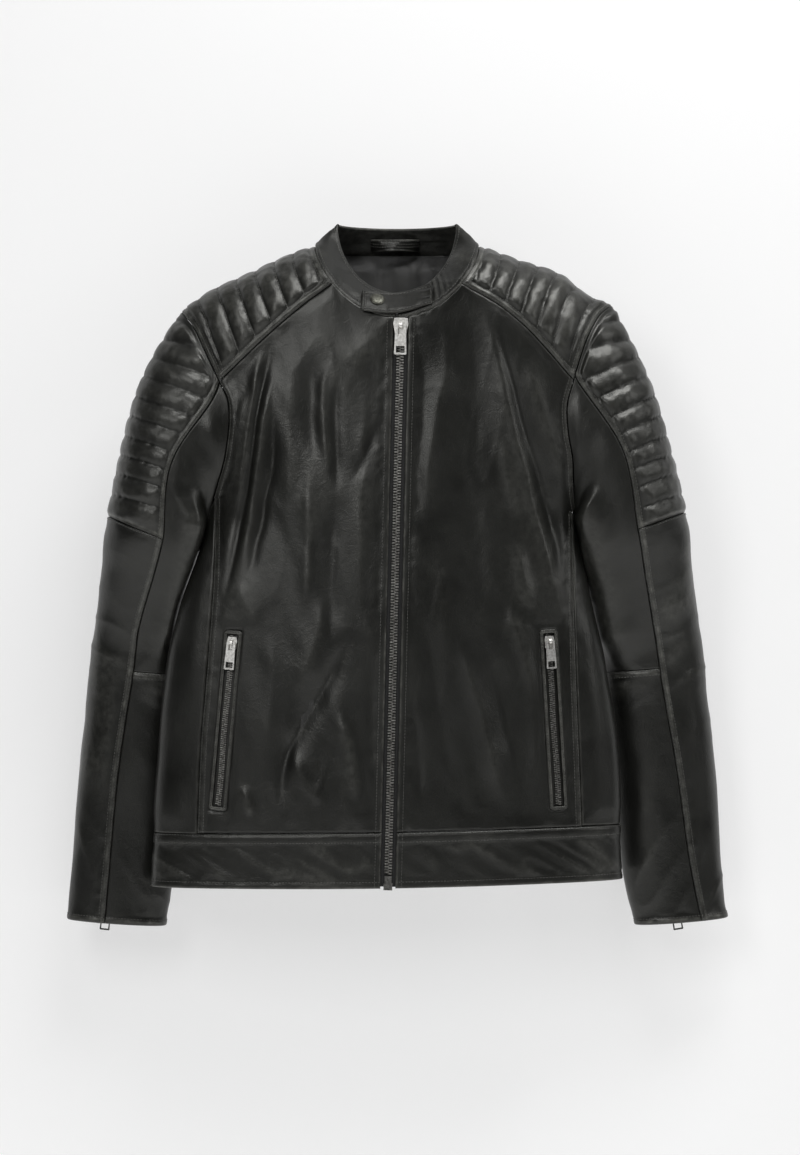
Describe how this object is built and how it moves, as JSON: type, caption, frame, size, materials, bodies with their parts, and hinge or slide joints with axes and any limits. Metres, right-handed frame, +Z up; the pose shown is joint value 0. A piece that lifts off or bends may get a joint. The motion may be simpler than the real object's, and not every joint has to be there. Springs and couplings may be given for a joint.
{
  "type": "leather riding jacket",
  "caption": "Racer-style leather riding jacket with quilted shoulders and upper arms, a snap-tab band collar, a centre front zip, zipped pockets and zipped cuffs.",
  "frame": {"origin": "the point on the back face of the hanger loop's middle, where a hook bears on it", "axes": "+Z up along the back, -Y towards the front with the zip, +X towards the wearer's left"},
  "size_m": [0.6927, 0.1476, 0.74],
  "materials": {
    "leather": "soft grained black lambskin, semi-matt",
    "quilted_leather": "soft grained black lambskin, quilted in ribs",
    "lining_fabric": "dark satin lining",
    "zip_tape": "woven black tape",
    "zip_nickel": "nickel-plated",
    "snap_gunmetal": "antique gunmetal"
  },
  "bodies": {
    "jacket": {"back_panel": "leather", "collar_band": "leather", "hanger_loop": "leather", "hem_band_back": "leather", "lining_back": "lining_fabric", "snap_stud": "zip_nickel", "main_zip_tape_right": "zip_tape", "main_zip_teeth_right": "zip_nickel", "main_zip_top_stop_right": "zip_nickel", "main_zip_tape_left": "zip_tape", "main_zip_teeth_left": "zip_nickel", "main_zip_top_stop_left": "zip_nickel", "main_zip_pin": "zip_nickel", "main_zip_box": "zip_nickel", "right_front_panel": "leather", "right_side_panel": "leather", "right_shoulder_yoke": "quilted_leather", "right_hem_band": "leather", "right_front_lining": "lining_fabric", "right_pocket_welt": "leather", "right_pocket_zip_tape": "zip_tape", "right_pocket_zip_teeth": "zip_nickel", "right_pocket_bag": "lining_fabric", "left_front_panel": "leather", "left_side_panel": "leather", "left_shoulder_yoke": "quilted_leather", "left_hem_band": "leather", "left_front_lining": "lining_fabric", "left_pocket_welt": "leather", "left_pocket_zip_tape": "zip_tape", "left_pocket_zip_teeth": "zip_nickel", "left_pocket_bag": "lining_fabric"},
    "collar_tab": {"collar_tab": "leather", "snap_cap": "snap_gunmetal", "snap_socket": "zip_nickel"},
    "main_zip_slider": {"main_zip_slider": "zip_nickel"},
    "main_zip_pull": {"main_zip_pull": "zip_nickel"},
    "right_sleeve": {"right_sleeve_pad": "quilted_leather", "right_sleeve_outer": "leather", "right_sleeve_under_upper": "leather", "right_sleeve_under_lower": "leather", "right_sleeve_lining": "lining_fabric", "right_cuff_zip_tape": "zip_tape", "right_cuff_zip_teeth": "zip_nickel"},
    "right_pocket_slider": {"right_pocket_slider": "zip_nickel"},
    "right_pocket_pull": {"right_pocket_pull": "zip_nickel"},
    "right_cuff_slider": {"right_cuff_slider": "zip_nickel"},
    "right_cuff_pull": {"right_cuff_pull": "zip_nickel"},
    "left_sleeve": {"left_sleeve_pad": "quilted_leather", "left_sleeve_outer": "leather", "left_sleeve_under_upper": "leather", "left_sleeve_under_lower": "leather", "left_sleeve_lining": "lining_fabric", "left_cuff_zip_tape": "zip_tape", "left_cuff_zip_teeth": "zip_nickel"},
    "left_pocket_slider": {"left_pocket_slider": "zip_nickel"},
    "left_pocket_pull": {"left_pocket_pull": "zip_nickel"},
    "left_cuff_slider": {"left_cuff_slider": "zip_nickel"},
    "left_cuff_pull": {"left_cuff_pull": "zip_nickel"}
  },
  "joints": [
    {"name": "main_zip_slide", "type": "slide", "parent": "jacket", "child": "main_zip_slider", "axis": [-0.023, 0, -0.9997], "range_m": [0, 0.545]},
    {"name": "main_zip_pull_hinge", "type": "hinge", "parent": "main_zip_slider", "child": "main_zip_pull", "pos_m": [0.00392, -0.09489, -0.0904], "axis": [-0.9997, 0, 0.023], "range_deg": [0, 120]},
    {"name": "right_pocket_zip_slide", "type": "slide", "parent": "jacket", "child": "right_pocket_slider", "axis": [-0.089, 0.0029, -0.996], "range_m": [0, 0.155]},
    {"name": "right_pocket_pull_hinge", "type": "hinge", "parent": "right_pocket_slider", "child": "right_pocket_pull", "pos_m": [-0.16961, -0.07997, -0.4139], "axis": [-0.9748, 0.2051, 0.0877], "range_deg": [0, 120]},
    {"name": "left_pocket_zip_slide", "type": "slide", "parent": "jacket", "child": "left_pocket_slider", "axis": [0.0582, -0.0088, -0.9983], "range_m": [0, 0.155]},
    {"name": "left_pocket_pull_hinge", "type": "hinge", "parent": "left_pocket_slider", "child": "left_pocket_pull", "pos_m": [0.15693, -0.07755, -0.41289], "axis": [-0.9741, -0.2196, -0.0549], "range_deg": [0, 120]},
    {"name": "collar_tab_hinge", "type": "hinge", "parent": "jacket", "child": "collar_tab", "pos_m": [0.03569, -0.09148, -0.06751], "axis": [-0.0131, 0.63, 0.7765], "range_deg": [0, 120]},
    {"name": "right_shoulder_swing", "type": "hinge", "parent": "jacket", "child": "right_sleeve", "pos_m": [-0.2235, -0.038, -0.073], "axis": [0, 1, 0], "range_deg": [0, 20]},
    {"name": "left_shoulder_swing", "type": "hinge", "parent": "jacket", "child": "left_sleeve", "pos_m": [0.2225, -0.038, -0.066], "axis": [0, -1, 0], "range_deg": [0, 20]},
    {"name": "right_cuff_zip_slide", "type": "slide", "parent": "right_sleeve", "child": "right_cuff_slider", "axis": [0.1071, 0.0945, 0.9897], "range_m": [0, 0.086]},
    {"name": "right_cuff_pull_hinge", "type": "hinge", "parent": "right_cuff_slider", "child": "right_cuff_pull", "pos_m": [-0.3066, 0.04063, -0.69262], "axis": [0.9866, 0.1131, -0.1176], "range_deg": [0, 120]},
    {"name": "left_cuff_zip_slide", "type": "slide", "parent": "left_sleeve", "child": "left_cuff_slider", "axis": [-0.1608, 0.0973, 0.9822], "range_m": [0, 0.086]},
    {"name": "left_cuff_pull_hinge", "type": "hinge", "parent": "left_cuff_slider", "child": "left_cuff_pull", "pos_m": [0.29324, 0.04095, -0.69245], "axis": [0.9869, 0.0321, 0.1584], "range_deg": [0, 120]}
  ]
}
